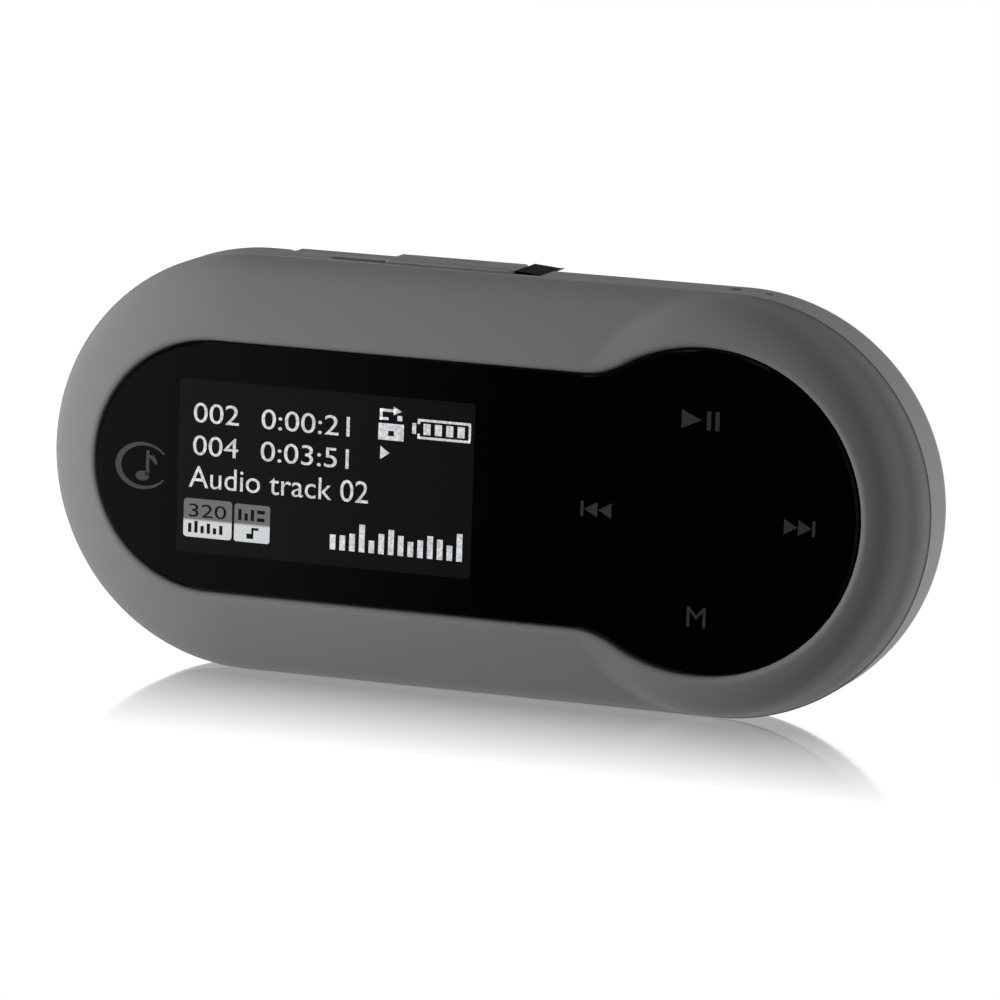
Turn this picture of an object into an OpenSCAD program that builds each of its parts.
// Pocket audio player: pebble-shaped case, keyhole window with touch keys,
// small display, and a USB plug that a thumb slide pushes out of one end.
// Units are millimetres. Every piece is drawn lying on its back, with X along
// the length, Y up the face and Z out of the face, and stand() then sets the
// player upright on its long edge: X along the length, -Y the face, Z up.

/* [Case] */
// Overall length
body_length = 89.6; // [86:0.1:110]
// Overall height, which is also the diameter of the round ends
body_height = 41; // [41:0.1:52]
// Overall depth, from face to back
body_depth = 15.4; // [15:0.1:19]
// Wall of both shells
wall = 1.6; // [1.3:0.1:2]
// Radius of the soft edge between the side band and the crowned faces
edge_radius = 4.5; // [3.5:0.1:5]
// Radius of the crown of both faces
crown_radius = 16; // [15:0.2:20]
// How far in from the side the crown starts to fall
crown_reach = 10.7; // [9:0.1:12]
// Open line between the two shells
parting_gap = 0.3; // [0.2:0.05:0.5]
// Height of the rear cover's lip inside the front shell
lip_height = 1.9; // [1.2:0.1:2.2]
// Thickness of that lip
lip_thickness = 0.8; // [0.6:0.1:1]

/* [Window] */
// Diameter of the round end of the window
window_circle = 31.5; // [28:0.5:36]
// Height of the straight part of the window
window_bar = 24.7; // [23.6:0.1:28]
// Radius of the two necks where the bar meets the circle
neck_radius = 9; // [5:0.5:12]
// Bezel left between the window and the left end
window_left_margin = 6.15; // [5:0.05:9]
// Bezel left between the window and the right end
window_right_margin = 5.6; // [5:0.05:8]
// Thickness of the window
lens_thickness = 1.4; // [1:0.1:1.8]
// How deep the window lies below the bezel's lip
lens_recess = 0.2; // [0:0.05:0.4]
// Gap round the window
lens_gap = 0.12; // [0.05:0.01:0.3]
// Thickness of the adhesive that holds the window
tape_thickness = 0.2; // [0.1:0.05:0.4]
// Front plate of the bezel, under the window
ledge_thickness = 1.2; // [0.8:0.1:1.6]
// Diameter of the touch sensor behind the round end
touch_diameter = 27; // [22:0.5:30]

/* [Display] */
// Length and height of the display's glass
display_size = [34.5, 21.6]; // [17:0.1:38]
// Thickness of the display
display_thickness = 1.4; // [1:0.1:2]
// Length and height of the part of the display that can be seen
display_view = [31.4, 17]; // [12:0.1:34]
// Distance from the window's left end to the visible part
display_inset = 7.8; // [5:0.1:12]
// Gap round the display in its opening
display_gap = 0.3; // [0.2:0.05:0.5]
// Foam between the display and the window
gasket_thickness = 0.3; // [0.2:0.05:0.6]
// Foam between the display and the board
pad_thickness = 0.75; // [0.4:0.05:1.2]

/* [Board and battery] */
// Thickness of the main board
board_thickness = 1; // [0.8:0.1:1.6]
// Gap between the main board's edge and the case wall
board_gap = 1; // [0.6:0.1:1.6]
// Battery cell: length, height and thickness
battery_size = [30, 25.6, 6]; // [4:0.1:34]
// Adhesive pad under the battery
battery_pad_thickness = 0.3; // [0.2:0.1:0.6]
// Height of the chips on the board
chip_height = 0.95; // [0.6:0.05:1]

/* [USB slide] */
// How far the plug slides out
slide_travel = 10.9; // [9:0.1:12]
// Height of the plug above the middle of the case
plug_height = 3; // [2:0.1:4]
// Metal plug shell: length, width and thickness
shell_size = [18.75, 12, 4.5]; // [4.5:0.05:20]
// Sheet the plug shell is folded from
shell_sheet = 0.3; // [0.25:0.05:0.4]
// Gap round the plug in the case and behind the board
plug_gap = 0.25; // [0.15:0.05:0.4]
// Length of the plug in front of its carriage
plug_reach = 13.4; // [12:0.1:14.5]
// Length of the carriage
carriage_length = 9.9; // [8:0.1:12]
// Running gap between the carriage and its guide
slide_gap = 0.2; // [0.1:0.05:0.4]
// Distance from the centre of the left round end to the thumb slide at rest
knob_inset = 13.1; // [12.5:0.05:20]
// Thumb slide: length and width
knob_size = [13.05, 4.6]; // [4:0.05:16]
// How far the thumb slide stands above the side band
knob_proud = 0.35; // [0.1:0.05:1]
// Depth of the recess that the thumb slide runs in
recess_depth = 0.3; // [0.2:0.05:0.8]
// Ramp at the right-hand end of the recess: length and depth
ramp_size = [3, 0.8]; // [0.4:0.1:5]

/* [Edge controls] */
// Height of the earphone socket below the middle of the case
jack_drop = 9.5; // [8.5:0.1:10.5]
// Radius of the earphone socket's bore
jack_bore_radius = 1.8; // [1.75:0.01:1.9]
// Depth of the earphone socket's bore
jack_depth = 14; // [13:0.1:15]
// Distance from the round window's centre to the hold switch
hold_offset = 9.3; // [7:0.1:12]
// Travel of the hold switch, each way from the middle
hold_travel = 1.5; // [1:0.1:2]
// Hold switch knob: length and width
hold_knob_size = [2.6, 2.4]; // [2:0.1:4]
// Diameter of the microphone's port
mic_port = 1.4; // [0.8:0.1:2]
// Distance from the microphone's port to the reset hole
reset_offset = 3.3; // [3.2:0.1:6]
// Travel of the reset plunger
reset_travel = 0.25; // [0.15:0.05:0.4]

/* [Screws] */
// Radius of the screws' threads
screw_radius = 0.7; // [0.5:0.05:0.9]
// Radius and height of the screws' heads
screw_head = [1.25, 1]; // [0.8:0.05:1.6]
// Radius of the front shell's screw bosses
boss_radius = 2.2; // [1.8:0.1:2.6]

/* [Hidden] */
$fn = 48;
end_radius = body_height / 2;
left_end = -body_length / 2;
right_end = body_length / 2;
left_centre = left_end + end_radius;
right_centre = right_end - end_radius;
cavity_radius = end_radius - wall;
touch_gap = 0.02;          // gap left between glued or screwed faces that are round
cut_over = 1;              // how far a cutter runs past a face

// Depths, from the face to the back
face_z = body_depth / 2;
lens_back_z = face_z - lens_recess - lens_thickness;
ledge_front_z = lens_back_z - tape_thickness;
ledge_back_z = ledge_front_z - ledge_thickness;
display_front_z = lens_back_z - gasket_thickness;
display_back_z = display_front_z - display_thickness;
flex_thickness = 0.15;
board_front_z = display_back_z - flex_thickness - pad_thickness;
board_back_z = board_front_z - board_thickness;
edge_z = board_back_z - plug_gap - shell_size[2] / 2;   // line of the edge controls
opening_rim = 0.8;         // wall left between the plug's opening and the parting line
parting_z = edge_z - shell_size[2] / 2 - plug_gap - opening_rim;
cover_top_z = parting_z - parting_gap;
cover_inner_z = -face_z + wall;

// Crown and edge arcs of the case's cross-section; each face is flat inside
// crown_end, where the window's bar begins, and the back mirrors the face
bar_half = window_bar / 2;
crown_start = end_radius - crown_reach;
crown_end = max(bar_half, crown_start);
crown_centre = [crown_start, face_z - sqrt(pow(crown_radius, 2) - pow(crown_end - crown_start, 2))];
crown_angle = acos((crown_end - crown_start) / crown_radius);
edge_centre = [end_radius - edge_radius,
    crown_centre[1]
    + sqrt(pow(crown_radius - edge_radius, 2) - pow(crown_reach - edge_radius, 2))];
edge_angle = acos((crown_reach - edge_radius) / (crown_radius - edge_radius));
shoulder_radius = end_radius - 3.8;  // where the cavity narrows under the crown
shoulder_z = board_front_z + 0.45;
rear_step = 0.9;           // step of the cavity's floor, under the back's crown

// Window and display places
window_radius = window_circle / 2;
key_x = right_end - window_right_margin - window_radius;
// Raised collar round the window's circle: its rounding, and the angle where it has sunk into
// the crown
collar_radius = 5.1;
collar_turn = 16;
collar_inside = window_radius + 2.25;
bar_x = left_end + window_left_margin + bar_half;
display_x = left_end + window_left_margin + display_inset + display_view[0] / 2;

// USB slide places, plug retracted
plug_top = plug_height + shell_size[1] / 2;
plug_tip_x = left_centre - sqrt(pow(end_radius, 2) - pow(plug_top, 2)) + 0.12;
carriage_x = plug_tip_x + plug_reach;
carriage_half = shell_size[1] / 2 + 0.8;
carriage_back_z = edge_z - shell_size[2] / 2 - 0.95;
carriage_front_z = board_back_z - 0.15;
guide_wall = 0.8;
guide_back_z = carriage_back_z - slide_gap - guide_wall;
arm_height = 3;
arm_top = plug_height + carriage_half + arm_height;
knob_x = left_centre + knob_inset;
stem_size = [4, 1.8];
stem_x = knob_x + 4.5;
knob_top = end_radius + knob_proud;
track_top = end_radius - recess_depth + 0.05;
knob_lift = 0.1;           // running gap under the thumb slide
shutter_y = cavity_radius - 1.3;
shutter_thickness = 0.4;
recess_left = knob_x - slide_travel - 0.6;
recess_right = knob_x + knob_size[0] + ramp_size[0];
recess_front_z = edge_z + 2;
track_front_z = edge_z + 1.9;
track_back_z = edge_z - 2.9;

// Earphone socket places
jack_y = -jack_drop;
jack_body = [11.6, 6, 5];
jack_barrel_radius = 2.45;
jack_ring_radius = 2.9;
jack_seat_radius = 3.5;
jack_mouth_x = left_centre
    - sqrt(pow(end_radius, 2) - pow(jack_drop + jack_ring_radius, 2)) - 0.1;
jack_body_x = left_centre
    - sqrt(pow(cavity_radius, 2) - pow(jack_drop + jack_body[1] / 2, 2)) + 0.35;

// Edge switch places
hold_x = key_x - hold_offset;
hold_recess_length = hold_knob_size[0] + 2 * hold_travel + 0.9;
hold_depth = 0.9;
hold_stem = [1.4, 1.2];
mic_x = key_x + 0.3;
mic_radius = 1.5;
reset_x = mic_x + reset_offset;
reset_hole_radius = 0.45;
reset_body = [2.6, 2.6, 2];

// Screw places: [x, y] of the case screws and of the board screws
boss_ring = cavity_radius - boss_radius + 0.4;
case_screw_places = [
    [left_centre + boss_ring * cos(132), boss_ring * sin(132)],
    [left_centre + boss_ring * cos(258), boss_ring * sin(258)],
    [right_centre + boss_ring * cos(29), boss_ring * sin(29)],
    [right_centre + boss_ring * cos(29), -boss_ring * sin(29)]];
guide_low = plug_height - carriage_half - slide_gap - 1;
guide_high = arm_top + slide_gap + 1;
foot_low = [plug_tip_x + 23.1, -display_size[1] / 2 - 3.2];
foot_high = [plug_tip_x + 18.1, guide_high + 1.7];
board_screw_places = [foot_low, foot_high,
    [recess_right + 4.5, display_size[1] / 2 + 5.2],
    [right_end - 4.95, 0]];
post_radius = 1.5;
seat_z = cover_top_z - 0.7;           // where the case screws' heads seat
boss_end_z = cover_top_z + 2.6;
sleeve_radius = boss_radius - 0.6;
rounded_opening = display_size + [2, 2] * display_gap;
battery_x = key_x - 2.75;
battery_front_z = board_back_z - battery_pad_thickness;
tongue_top_z = edge_z + 0.1;
detent_x = plug_tip_x + 14.2;
spring_sheet = 0.2;
hold_inner_y = -cavity_radius + 0.1;
mic_wall_y = sqrt(pow(cavity_radius, 2) - pow(1.5 * max(0, mic_x - right_centre), 2));
reset_wall_y = sqrt(pow(cavity_radius, 2) - pow(max(0, reset_x - right_centre), 2));
reset_face_y = reset_wall_y - 0.7;

// Touch ribbon: its half width, and how far it lies below the key pad's centre
touch_ribbon_half = 4;
touch_ribbon_y = -12.3;

// ---- shared shapes ----

// Sets a piece that was drawn face up on the player's long edge
module stand() {
    translate([0, 0, body_height / 2]) rotate([90, 0, 0]) children();
}

// Points along an arc
function arc(c, r, a0, a1, n) =
    [for (i = [0:n]) let (a = a0 + (a1 - a0) * i / n) [c[0] + r * cos(a), c[1] + r * sin(a)]];

// Outline of the keyhole window, grown outwards by d
function keyhole(d) = let (
    r = window_radius + d,
    h = bar_half + d,
    f = neck_radius - d,
    run = sqrt(pow(r + f, 2) - pow(h + f, 2)),
    turn = atan2(h + f, -run))
    concat(
        arc([key_x, 0], r, -turn, turn, 40),
        arc([key_x - run, h + f], f, turn - 180, -90, 8),
        arc([bar_x, 0], h, 90, 270, 28),
        arc([key_x - run, -h - f], f, 90, 180 - turn, 8));

// Half cross-section of the case above z_low, from its middle out to its side;
// a z_low beyond the side band starts part of the way round an edge arc
function half_section(z_low) = let (turn = asin((abs(z_low) - edge_centre[1]) / edge_radius))
    concat(
    [[0, z_low]],
    z_low < 0 ? arc([edge_centre[0], -edge_centre[1]], edge_radius, -turn, 0, 3) : [],
    arc(edge_centre, edge_radius, z_low < 0 ? 0 : turn, edge_angle, 6),
    arc(crown_centre, crown_radius, edge_angle, crown_angle, 6),
    [[0, face_z]]);

// A half section carried round the long oval of the case
module oval_of_section(section) {
    for (side = [[left_centre, 90], [right_centre, -90]])
        translate([side[0], 0, 0])
            rotate([0, 0, side[1]])
                rotate_extrude(angle = 180, $fn = 96) polygon(section);
    for (flip = [0, 1])
        mirror([0, flip, 0])
            translate([left_centre, 0, 0])
                rotate([90, 0, 90])
                    linear_extrude(right_centre - left_centre) polygon(section);
}

// A plain oval slab of a given end radius
module oval(r, z0, z1) {
    translate([0, 0, z0]) {
        for (x = [left_centre, right_centre])
            translate([x, 0, 0]) cylinder(r = r, h = z1 - z0);
        translate([left_centre, -r, 0]) cube([right_centre - left_centre, 2 * r, z1 - z0]);
    }
}

// A block given by its lowest and highest corners
module block(low, high) {
    translate(low) cube(high - low);
}

// A slab with round corners, lying flat
module rounded_slab(size, r, z0, z1) {
    translate([0, 0, z0]) linear_extrude(z1 - z0) {
        square([size[0] - 2 * r, size[1]], center = true);
        square([size[0], size[1] - 2 * r], center = true);
        for (x = [-1, 1], y = [-1, 1])
            translate([x * (size[0] / 2 - r), y * (size[1] / 2 - r)]) circle(r);
    }
}

// Scoop in the top edge, in which the thumb slide runs
module recess_cut() {
    floor_y = end_radius - recess_depth;
    translate([0, 0, -face_z - cut_over])
        linear_extrude(recess_front_z + face_z + cut_over)
            polygon([
                [recess_left - recess_depth, end_radius + 0.01],
                [recess_left + recess_depth, floor_y],
                [recess_right - ramp_size[0] - 1, floor_y],
                [recess_right - ramp_size[0], end_radius - ramp_size[1]],
                [recess_right, end_radius + 0.01],
                [recess_right, end_radius + cut_over],
                [recess_left - recess_depth, end_radius + cut_over]]);
}

// A machine screw lying along Z with its head's seat at z = 0 and its point up
module screw(length) {
    difference() {
        union() {
            translate([0, 0, -screw_head[1]]) cylinder(r = screw_head[0], h = screw_head[1]);
            cylinder(r = screw_radius, h = length);
        }
        for (a = [0, 90])
            rotate([0, 0, a])
                translate([-0.8, -0.13, -screw_head[1] - cut_over])
                    cube([1.6, 0.26, cut_over + 0.5]);
    }
}

// ---- case ----

// Painted front shell: bezel, side band, screw bosses and board posts
module front_bezel() {
    color([0.40, 0.40, 0.41]) stand() difference() {
        union() {
            difference() {
                oval_of_section(half_section(parting_z));
                oval(cavity_radius, parting_z - cut_over, shoulder_z);
                oval(shoulder_radius, shoulder_z - 0.01, ledge_back_z);
            }
            for (p = case_screw_places)
                translate([p[0], p[1], boss_end_z]) {
                    cylinder(r = boss_radius, h = shoulder_z - boss_end_z + 0.2);
                    cylinder(r = sleeve_radius, h = ledge_back_z - boss_end_z + 0.2);
                }
            for (p = board_screw_places)
                translate([p[0], p[1], board_front_z])
                    cylinder(r = post_radius, h = ledge_back_z - board_front_z + 0.2);
            // Collar that lifts the bezel to the edge of the window's circle
            translate([key_x, 0, 0])
                rotate_extrude($fn = 96) polygon(concat(
                    [[window_radius - 1, ledge_back_z + 0.3], [window_radius - 1, face_z]],
                    arc([window_radius - 0.5, face_z - collar_radius], collar_radius,
                        90, collar_turn, 10),
                    [[collar_inside, shoulder_z + 0.05],
                        [collar_inside, ledge_back_z + 0.3]]));
            // Thick wall behind the earphone socket's seat
            intersection() {
                translate([jack_mouth_x, jack_y, edge_z])
                    rotate([0, 90, 0]) cylinder(r = 4.2, h = 1.7);
                oval(cavity_radius + 0.3, parting_z, board_back_z - 0.1);
            }
        }
        // Seat of the window
        translate([0, 0, ledge_front_z])
            linear_extrude(face_z) polygon(keyhole(0));
        // Opening for the display, with room for its ribbon
        translate([display_x, 0, 0])
            rounded_slab(rounded_opening, 0.5, ledge_back_z - cut_over, face_z);
        block([display_x + 4, -display_size[1] / 2 - 0.8, ledge_back_z - cut_over],
            [display_x + 16, -display_size[1] / 4, ledge_front_z + 0.01]);
        // Slot for the touch sensor's ribbon
        block([key_x - touch_ribbon_half - 0.4, touch_ribbon_y - 0.5, ledge_back_z - cut_over],
            [key_x + touch_ribbon_half + 0.4, touch_ribbon_y + 0.6, ledge_front_z + 0.01]);
        // Pilot holes of the screws
        for (p = case_screw_places)
            translate([p[0], p[1], boss_end_z - cut_over])
                cylinder(r = screw_radius + touch_gap, h = 4.4 + cut_over);
        for (p = board_screw_places)
            translate([p[0], p[1], board_front_z - cut_over])
                cylinder(r = screw_radius + touch_gap, h = 1.5 + cut_over);
        // Opening for the plug
        block([left_end - cut_over, plug_height - shell_size[1] / 2 - plug_gap,
                edge_z - shell_size[2] / 2 - plug_gap],
            [left_centre - 12, plug_top + plug_gap, edge_z + shell_size[2] / 2 + plug_gap]);
        // Round seat and hole for the earphone socket
        translate([left_end - cut_over, jack_y, edge_z]) rotate([0, 90, 0]) {
            cylinder(r = jack_seat_radius, h = jack_mouth_x - left_end + cut_over);
            cylinder(r = jack_barrel_radius + 0.1, h = jack_mouth_x - left_end + 5);
        }
        // Scoop and window of the thumb slide
        recess_cut();
        block([recess_left + 0.4, cavity_radius - cut_over, track_back_z],
            [recess_right - ramp_size[0] - 0.4, end_radius + cut_over, track_front_z]);
        // Recess and slot of the hold switch
        block([hold_x - hold_recess_length / 2, -end_radius - cut_over,
                edge_z - hold_knob_size[1] / 2 - 0.3],
            [hold_x + hold_recess_length / 2, -end_radius + hold_depth,
                edge_z + hold_knob_size[1] / 2 + 0.3]);
        block([hold_x - hold_stem[0] / 2 - hold_travel - 0.2, -end_radius,
                edge_z - hold_stem[1] / 2 - 0.15],
            [hold_x + hold_stem[0] / 2 + hold_travel + 0.2, -cavity_radius + cut_over,
                edge_z + hold_stem[1] / 2 + 0.15]);
        // Microphone port and reset hole
        for (hole = [[mic_x, mic_port / 2], [reset_x, reset_hole_radius]])
            translate([hole[0], cavity_radius - cut_over, edge_z])
                rotate([-90, 0, 0]) cylinder(r = hole[1], h = wall + 2 * cut_over);
    }
}

// Rear shell: a shallow dish with a locating lip and four screw sleeves
module rear_cover() {
    lip_radius = cavity_radius - 0.1;
    color([0.16, 0.16, 0.17]) stand() difference() {
        union() {
            difference() {
                union() {
                    mirror([0, 0, 1]) oval_of_section(half_section(-cover_top_z));
                    oval(lip_radius, cover_top_z, cover_top_z + lip_height);
                }
                oval(lip_radius - lip_thickness, cover_top_z - 0.8,
                    cover_top_z + lip_height + cut_over);
                oval(shoulder_radius, cover_inner_z + rear_step, cover_top_z - 0.79);
                oval(shoulder_radius - 2 * rear_step, cover_inner_z, cover_top_z - 0.79);
            }
            for (p = case_screw_places)
                translate([p[0], p[1], seat_z])
                    cylinder(r = sleeve_radius, h = boss_end_z - 0.1 - seat_z);
            // Pads that close the screws' counterbores on the inside
            intersection() {
                for (p = case_screw_places)
                    translate([p[0], p[1], cover_inner_z + rear_step - 0.1])
                        cylinder(r = screw_head[0] + 0.75, h = seat_z + 0.8 - cover_inner_z - rear_step);
                oval(shoulder_radius + 0.3, cover_inner_z, cover_top_z);
            }
        }
        for (p = case_screw_places)
            translate([p[0], p[1], 0]) {
                translate([0, 0, -face_z - cut_over])
                    cylinder(r = screw_head[0] + 0.15, h = seat_z + face_z + cut_over);
                translate([0, 0, -face_z]) cylinder(r = screw_radius + 0.15, h = body_depth);
            }
        recess_cut();
        // Gaps in the lip at the plug, the socket, the slide and the edge switches
        lip_low = cover_top_z + 0.01;
        lip_high = cover_top_z + lip_height + cut_over;
        block([left_end, jack_y - 6, lip_low], [left_centre - 11.5, plug_top + 1.4, lip_high]);
        block([recess_left - 2, end_radius - 4, lip_low], [recess_right, end_radius, lip_high]);
        block([mic_x - 3, end_radius - 4, lip_low], [reset_x + 3, end_radius, lip_high]);
        block([hold_x - 5, -end_radius, lip_low], [hold_x + 5, -end_radius + 4, lip_high]);
    }
}

// Gloss black window with the printed touch keys behind it
module window_lens() {
    color([0.02, 0.02, 0.02]) stand()
        translate([0, 0, lens_back_z])
            linear_extrude(lens_thickness) polygon(keyhole(-lens_gap));
}

// Die-cut adhesive that holds the window on its seat
module lens_adhesive() {
    color([0.1, 0.1, 0.1]) stand() difference() {
        translate([0, 0, ledge_front_z])
            linear_extrude(tape_thickness) polygon(keyhole(-0.4));
        translate([display_x, 0, 0])
            rounded_slab(rounded_opening, 0.5, ledge_front_z - cut_over, face_z);
        translate([key_x, 0, 0]) cylinder(d = touch_diameter + 0.4, h = face_z);
    }
}

// ---- display and touch keys ----

// Glass display module
module display_panel() {
    color([0.05, 0.06, 0.08]) stand()
        translate([display_x, 0, 0])
            rounded_slab(display_size, 0.3, display_back_z, display_front_z);
}

// Foam frame that keeps dust out between the display and the window
module display_gasket() {
    color([0.08, 0.08, 0.08]) stand() translate([display_x, 0, 0]) difference() {
        rounded_slab(display_size - [0.6, 0.6], 0.4, display_front_z, lens_back_z);
        rounded_slab(display_view + [0.4, 0.4], 0.3, display_front_z - cut_over, face_z);
    }
}

// Foam pad that presses the display forwards, off the board
module display_pad() {
    color([0.15, 0.15, 0.15]) stand()
        block([display_x - display_size[0] / 2 + 3, -display_size[1] / 2 + 3.6, board_front_z],
            [display_x + display_size[0] / 2 - 3, display_size[1] / 2 - 1.4,
                display_back_z - flex_thickness]);
}

// Ribbon from the display's lower edge down to the board
module display_flex() {
    edge_y = -display_size[1] / 2;
    left = display_x + 5;
    right = display_x + 15;
    color([0.75, 0.45, 0.12]) stand() {
        block([left, edge_y - 0.5, display_back_z - flex_thickness],
            [right, edge_y + 3, display_back_z]);
        block([left, edge_y - 0.5, board_front_z],
            [right, edge_y - 0.5 + flex_thickness, display_back_z]);
        block([left, edge_y - 3, board_front_z],
            [right, edge_y - 0.5 + flex_thickness, board_front_z + flex_thickness]);
    }
}

// Round touch sensor film, stuck to the back of the window
module touch_sensor() {
    color([0.7, 0.4, 0.12]) stand()
        translate([key_x, 0, ledge_front_z]) cylinder(d = touch_diameter, h = tape_thickness);
}

// Ribbon from the touch sensor through its slot to the board
module touch_flex() {
    color([0.75, 0.45, 0.12]) stand() {
        block([key_x - touch_ribbon_half, touch_ribbon_y, board_front_z],
            [key_x + touch_ribbon_half, touch_ribbon_y + flex_thickness, ledge_front_z]);
        block([key_x - touch_ribbon_half, touch_ribbon_y, board_front_z],
            [key_x + touch_ribbon_half, touch_ribbon_y + 2.3, board_front_z + flex_thickness]);
    }
}

// ---- electronics ----

// Main board, oval like the case
module main_board() {
    color([0.05, 0.25, 0.12]) stand() difference() {
        oval(cavity_radius - board_gap, board_back_z, board_front_z);
        for (p = case_screw_places)
            translate([p[0], p[1], board_back_z - cut_over])
                cylinder(r = boss_radius + 0.3, h = board_thickness + 2 * cut_over);
        for (p = board_screw_places)
            translate([p[0], p[1], board_back_z - cut_over])
                cylinder(r = screw_radius + 0.2, h = board_thickness + 2 * cut_over);
    }
}

// A chip: moulded body with a row of legs along two sides
module chip(centre, size, legs) {
    pitch = (size[0] - 1) / (legs - 1);
    translate([centre[0], centre[1], board_front_z]) {
        block([-size[0] / 2, -size[1] / 2, 0.1], [size[0] / 2, size[1] / 2, chip_height]);
        for (i = [0:legs - 1], side = [-1, 1])
            translate([-size[0] / 2 + 0.5 + i * pitch, side * (size[1] / 2 + 0.3), 0.2])
                cube([0.25, 0.8, 0.4], center = true);
    }
}

// Audio processor
module processor_chip() {
    color([0.06, 0.06, 0.06]) stand() chip([key_x - 12.2, 2], [9, 9], 12);
}

// Flash memory that holds the music
module flash_memory_chip() {
    color([0.06, 0.06, 0.06]) stand() chip([key_x + 4, 1.5], [18.4, 11], 20);
}

// Clock crystal in its metal can
module crystal() {
    color([0.75, 0.75, 0.76]) stand()
        translate([key_x - 13, -6, 0])
            rounded_slab([3.2, 2.5], 0.4, board_front_z, board_front_z + 0.8);
}

// Small ceramic capacitors round the processor
module board_capacitors() {
    color([0.6, 0.5, 0.35]) stand()
        for (i = [0:4])
            block([key_x - 17 + i * 2, 9, board_front_z],
                [key_x - 16 + i * 2, 9.6, board_front_z + 0.5]);
}

// Lithium pouch cell behind the board
module battery_cell() {
    color([0.72, 0.73, 0.75]) stand()
        translate([battery_x, 0, 0])
            rounded_slab([battery_size[0], battery_size[1]], 1.2,
                battery_front_z - battery_size[2], battery_front_z);
}

// Adhesive pad that holds the cell to the board
module battery_adhesive() {
    color([0.9, 0.9, 0.85]) stand()
        block([battery_x - battery_size[0] / 2 + 3, -battery_size[1] / 2 + 3, battery_front_z],
            [battery_x + battery_size[0] / 2 - 3, battery_size[1] / 2 - 3, board_back_z]);
}

// Two short leads from the cell to the board
module battery_leads() {
    lead_radius = 0.4;
    lead_z = board_back_z - 1.3;
    cell_left = battery_x - battery_size[0] / 2;
    color([0.6, 0.05, 0.05]) stand()
        for (y = [-9, -6.5])
            translate([cell_left - 1.8, y, lead_z]) {
                rotate([0, 90, 0]) cylinder(r = lead_radius, h = 1.8 - touch_gap);
                sphere(lead_radius);
                cylinder(r = lead_radius, h = board_back_z - lead_z);
            }
}

// ---- USB slide ----

// Slider that holds the plug and carries the thumb slide on its arm
module usb_carriage() {
    low = plug_height - carriage_half;
    high = plug_height + carriage_half;
    right = carriage_x + carriage_length;
    wiper_left = plug_tip_x + shell_size[0] + 0.6;
    color([0.09, 0.09, 0.09]) stand() difference() {
        union() {
            block([carriage_x, low, carriage_back_z], [right, high, carriage_front_z]);
            block([right - 2.3, high - 0.01, edge_z - 1.6],
                [stem_x + stem_size[0] + 0.2, arm_top, edge_z + 1.6]);
            block([stem_x, arm_top - 0.01, edge_z - stem_size[1] / 2],
                [stem_x + stem_size[0], track_top + knob_lift, edge_z + stem_size[1] / 2]);
        }
        // Pocket of the plug shell, open towards the board
        block([carriage_x - cut_over, plug_height - shell_size[1] / 2 - touch_gap,
                edge_z - shell_size[2] / 2 - touch_gap],
            [plug_tip_x + shell_size[0] + touch_gap, plug_top + touch_gap, face_z]);
        // Step under the wipers
        block([wiper_left, low - cut_over, carriage_front_z - 0.3],
            [right + cut_over, high + cut_over, face_z]);
        // Groove that the detent spring's nose rides in
        block([carriage_x - cut_over, plug_height - 1.2, carriage_back_z - cut_over],
            [right + cut_over, plug_height + 1.2, carriage_back_z + 0.6]);
    }
}

// Folded metal shell of the plug, with its four latch windows
module usb_plug_shell() {
    length = shell_size[0];
    width = shell_size[1];
    thick = shell_size[2];
    color([0.78, 0.78, 0.8]) stand()
        translate([plug_tip_x, plug_height, edge_z]) difference() {
            block([0, -width / 2, -thick / 2], [length, width / 2, thick / 2]);
            block([-cut_over, -width / 2 + shell_sheet, -thick / 2 + shell_sheet],
                [length + cut_over, width / 2 - shell_sheet, thick / 2 - shell_sheet]);
            for (y = [-3.5, 1])
                block([5.16, y, -thick], [7.66, y + 2.5, thick]);
        }
}

// Plastic tongue inside the plug shell
module usb_plug_tongue() {
    half = shell_size[1] / 2 - shell_sheet - touch_gap;
    back = edge_z - shell_size[2] / 2 + shell_sheet + touch_gap;
    front = edge_z + shell_size[2] / 2 - shell_sheet - touch_gap;
    color([0.92, 0.92, 0.9]) stand() {
        block([plug_tip_x + 0.4, plug_height - half, back],
            [plug_tip_x + shell_size[0] - 0.5, plug_height + half, tongue_top_z]);
        block([plug_tip_x + 12.5, plug_height - half, back],
            [plug_tip_x + shell_size[0] - 0.5, plug_height + half, front]);
    }
}

// Four gilt contacts on the tongue, the outer two longer
module usb_plug_contacts() {
    color([0.85, 0.65, 0.25]) stand()
        for (contact = [[-3.5, 1.1], [-1, 2.1], [1, 2.1], [3.5, 1.1]])
            block([plug_tip_x + contact[1], plug_height + contact[0] - 0.5, tongue_top_z],
                [plug_tip_x + 8.6, plug_height + contact[0] + 0.5, tongue_top_z + 0.12]);
}

// Four spring wipers that join the sliding plug to tracks on the board
module usb_wipers() {
    left = plug_tip_x + shell_size[0] + 0.9;
    color([0.85, 0.65, 0.25]) stand()
        for (y = [-3.5, -1, 1, 3.5])
            block([left, plug_height + y - 0.35, carriage_front_z - 0.3],
                [left + 2.6, plug_height + y + 0.35, board_back_z - 0.04]);
}

// Thumb slide on the top edge
module slide_knob() {
    color([0.42, 0.42, 0.43]) stand()
        block([knob_x, track_top + knob_lift, edge_z - 0.5 - knob_size[1] / 2],
            [knob_x + knob_size[0], knob_top, edge_z - 0.5 + knob_size[1] / 2]);
}

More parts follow.
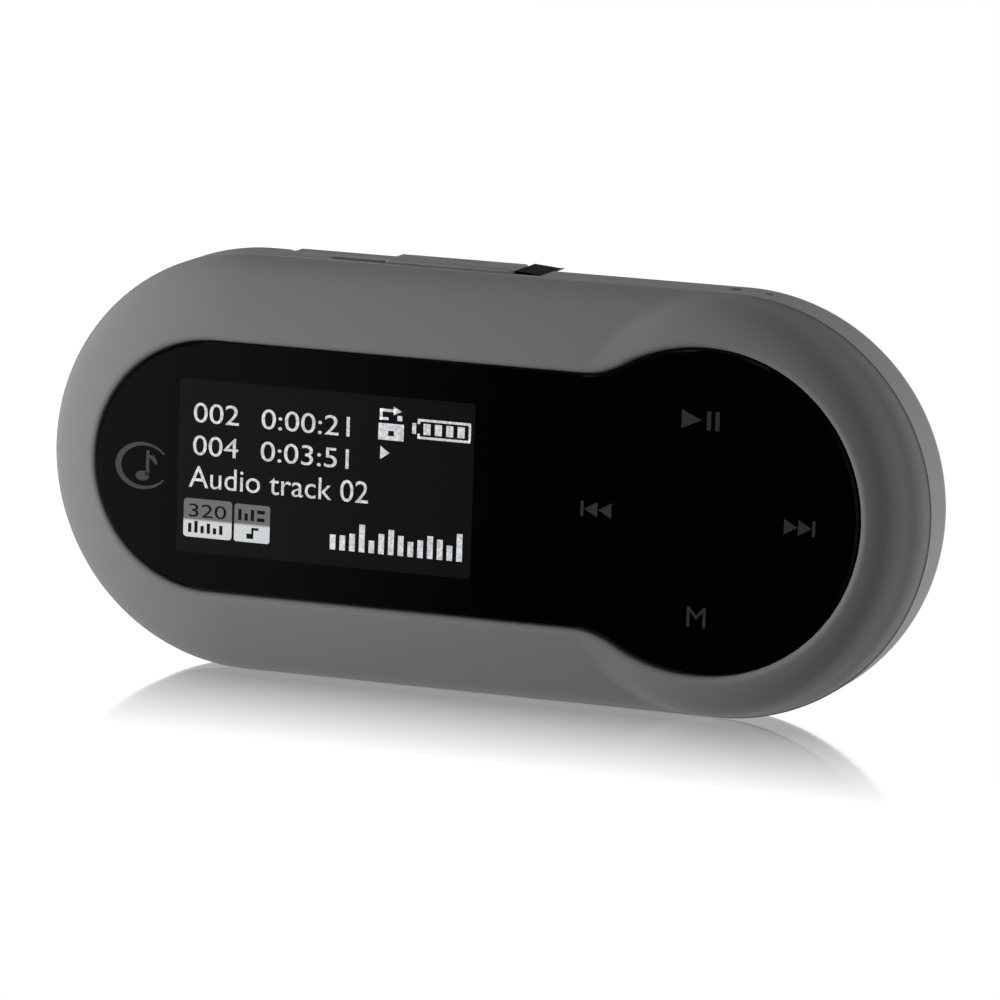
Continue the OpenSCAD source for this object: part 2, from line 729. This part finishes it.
// Strip that moves with the thumb slide and keeps its slot closed
module slide_shutter() {
    reach = slide_travel + 0.8;
    color([0.03, 0.03, 0.03]) stand() difference() {
        block([stem_x - reach, shutter_y, edge_z - 1.5],
            [stem_x + stem_size[0] + reach, shutter_y + shutter_thickness, edge_z + 1.5]);
        block([stem_x - touch_gap, shutter_y - cut_over, edge_z - stem_size[1] / 2 - touch_gap],
            [stem_x + stem_size[0] + touch_gap, shutter_y + cut_over,
                edge_z + stem_size[1] / 2 + touch_gap]);
    }
}

// Black insert that closes the scoop and holds the slot
module slide_track() {
    left = recess_left + 0.5;
    right = recess_right - ramp_size[0] - 0.5;
    color([0.02, 0.02, 0.02]) stand() difference() {
        union() {
            block([left, cavity_radius - 0.01, track_back_z + 0.1],
                [right, track_top, track_front_z - 0.1]);
            block([left - 1, cavity_radius - 0.5, track_back_z - 0.1],
                [right + 1, cavity_radius, track_front_z + 0.4]);
        }
        block([stem_x - slide_travel - 0.2, cavity_radius - cut_over,
                edge_z - stem_size[1] / 2 - 0.2],
            [stem_x + stem_size[0] + 0.2, end_radius + cut_over, edge_z + stem_size[1] / 2 + 0.2]);
    }
}

// Channel behind the board that the carriage runs in
module slide_guide() {
    left = carriage_x - slide_travel + 2.3;
    shoulder = plug_tip_x + 9.9;
    right = plug_tip_x + 30;
    plate_front_z = guide_back_z + guide_wall;
    foot_z = board_back_z - 0.8;
    color([0.13, 0.13, 0.14]) stand() difference() {
        union() {
            block([shoulder, guide_low, guide_back_z], [right, guide_high, plate_front_z]);
            block([left, guide_low, guide_back_z],
                [shoulder + 1, plug_height + carriage_half, plate_front_z]);
            block([left, guide_low, guide_back_z], [right, guide_low + 1, board_back_z]);
            block([shoulder, guide_high - 1, guide_back_z],
                [stem_x - slide_travel - 1, guide_high, board_back_z]);
            block([foot_low[0] - 2, foot_low[1] - 2, foot_z],
                [foot_low[0] + 2, guide_low + 0.5, board_back_z]);
            block([foot_high[0] - 2, guide_high - 0.5, foot_z],
                [foot_high[0] + 2, foot_high[1] + 1.9, board_back_z]);
        }
        for (p = [foot_low, foot_high])
            translate([p[0], p[1], foot_z - cut_over])
                cylinder(r = screw_radius + 0.15, h = 3);
        // Window for the detent spring's nose
        block([detent_x - 0.8, plug_height - 1.3, guide_back_z - cut_over],
            [detent_x + 0.8, plug_height + 1.3, plate_front_z + 0.1]);
    }
}

// Leaf spring whose nose holds the carriage at each end of its travel
module detent_spring() {
    color([0.7, 0.7, 0.72]) stand() {
        block([detent_x - 6, plug_height - 1, guide_back_z - spring_sheet],
            [detent_x + 6, plug_height + 1, guide_back_z]);
        block([detent_x - 0.5, plug_height - 0.9, guide_back_z - spring_sheet],
            [detent_x + 0.5, plug_height + 0.9, carriage_back_z + 0.35]);
    }
}

// ---- earphone socket ----

// Moulded 3.5 mm socket with its round barrel
module earphone_jack() {
    color([0.05, 0.05, 0.05]) stand() difference() {
        union() {
            block([jack_body_x, jack_y - jack_body[1] / 2, edge_z - jack_body[2] / 2],
                [jack_mouth_x + jack_depth + 0.8, jack_y + jack_body[1] / 2,
                    board_back_z]);
            translate([jack_mouth_x, jack_y, edge_z])
                rotate([0, 90, 0]) cylinder(r = jack_barrel_radius, h = jack_body_x - jack_mouth_x + 0.5);
        }
        translate([jack_mouth_x - cut_over, jack_y, edge_z])
            rotate([0, 90, 0]) cylinder(r = jack_bore_radius, h = jack_depth + cut_over);
    }
}

// Tinned terminals of the socket, soldered to the board
module jack_terminals() {
    color([0.8, 0.8, 0.8]) stand()
        for (x = [2.5, 6, 9.5], side = [-1, 1])
            translate([jack_body_x + x, jack_y + side * (jack_body[1] / 2 + 0.25), board_back_z - 0.6])
                cube([1.2, 0.48, 1.2], center = true);
}

// Bright ring round the socket's mouth
module jack_ring() {
    color([0.75, 0.75, 0.76]) stand()
        translate([jack_mouth_x - 0.5, jack_y, edge_z]) rotate([0, 90, 0]) difference() {
            cylinder(r = jack_ring_radius, h = 0.5);
            translate([0, 0, -cut_over])
                cylinder(r = jack_bore_radius + 0.15, h = 3);
        }
}

// ---- edge switches and microphone ----

// Small slide knob of the hold switch, flush in its recess
module hold_knob() {
    cap_low = -end_radius + 0.1;
    cap_high = -end_radius + hold_depth - 0.1;
    color([0.42, 0.42, 0.43]) stand() {
        block([hold_x - hold_knob_size[0] / 2, cap_low, edge_z - hold_knob_size[1] / 2],
            [hold_x + hold_knob_size[0] / 2, cap_high, edge_z + hold_knob_size[1] / 2]);
        block([hold_x - hold_stem[0] / 2, cap_high - 0.01, edge_z - hold_stem[1] / 2],
            [hold_x + hold_stem[0] / 2, hold_inner_y - 0.02, edge_z + hold_stem[1] / 2]);
    }
}

// Switch body behind the hold knob
module hold_switch() {
    color([0.72, 0.72, 0.72]) stand()
        block([hold_x - 3.6, hold_inner_y, edge_z - 1.4],
            [hold_x + 3.6, hold_inner_y + 2.7, board_back_z]);
}

// Small microphone capsule behind its port
module microphone() {
    color([0.75, 0.72, 0.6]) stand()
        translate([mic_x, mic_wall_y - 0.5, edge_z])
            rotate([90, 0, 0]) cylinder(r = mic_radius - touch_gap, h = 1.6);
}

// Rubber boot that seals the microphone against the case
module microphone_boot() {
    color([0.05, 0.05, 0.05]) stand()
        translate([mic_x, mic_wall_y - 0.1, edge_z]) rotate([90, 0, 0]) difference() {
            cylinder(r = mic_radius + 0.25, h = 2.2);
            translate([0, 0, 0.4 - touch_gap]) cylinder(r = mic_radius, h = 3);
            translate([0, 0, -cut_over]) cylinder(r = mic_port / 2, h = 3);
        }
}

// Plunger of the reset switch, reached with a pin through its hole
module reset_plunger() {
    color([0.9, 0.9, 0.88]) stand()
        translate([reset_x, reset_face_y + 0.5, edge_z])
            rotate([90, 0, 0]) cylinder(r = 0.6, h = 0.5 + reset_travel + 0.05);
}

// Body of the reset switch
module reset_switch() {
    well = reset_travel * 2 + 0.15;
    color([0.2, 0.2, 0.2]) stand() difference() {
        block([reset_x - reset_body[0] / 2, reset_face_y - reset_body[2], edge_z - 1.3],
            [reset_x + reset_body[0] / 2, reset_face_y, board_back_z]);
        translate([reset_x, reset_face_y + cut_over, edge_z])
            rotate([90, 0, 0]) cylinder(r = 0.68, h = cut_over + well);
    }
}

// ---- fasteners ----

// Four screws that hold the rear cover
module case_screws() {
    color([0.55, 0.55, 0.56]) stand()
        for (p = case_screw_places)
            translate([p[0], p[1], seat_z]) screw(boss_end_z + 3.8 - seat_z);
}

// Four screws that hold the board and the slide's guide
module board_screws() {
    color([0.65, 0.65, 0.66]) stand()
        for (i = [0:3])
            let (p = board_screw_places[i], seat = board_back_z - (i < 2 ? 0.8 : 0))
                translate([p[0], p[1], seat]) screw(board_front_z + 1.3 - seat);
}

front_bezel();
rear_cover();
window_lens();
lens_adhesive();
display_panel();
display_gasket();
display_pad();
display_flex();
touch_sensor();
touch_flex();
main_board();
processor_chip();
flash_memory_chip();
crystal();
board_capacitors();
battery_cell();
battery_adhesive();
battery_leads();
usb_carriage();
usb_plug_shell();
usb_plug_tongue();
usb_plug_contacts();
usb_wipers();
slide_knob();
slide_shutter();
slide_track();
slide_guide();
detent_spring();
earphone_jack();
jack_terminals();
jack_ring();
hold_knob();
hold_switch();
microphone();
microphone_boot();
reset_plunger();
reset_switch();
case_screws();
board_screws();
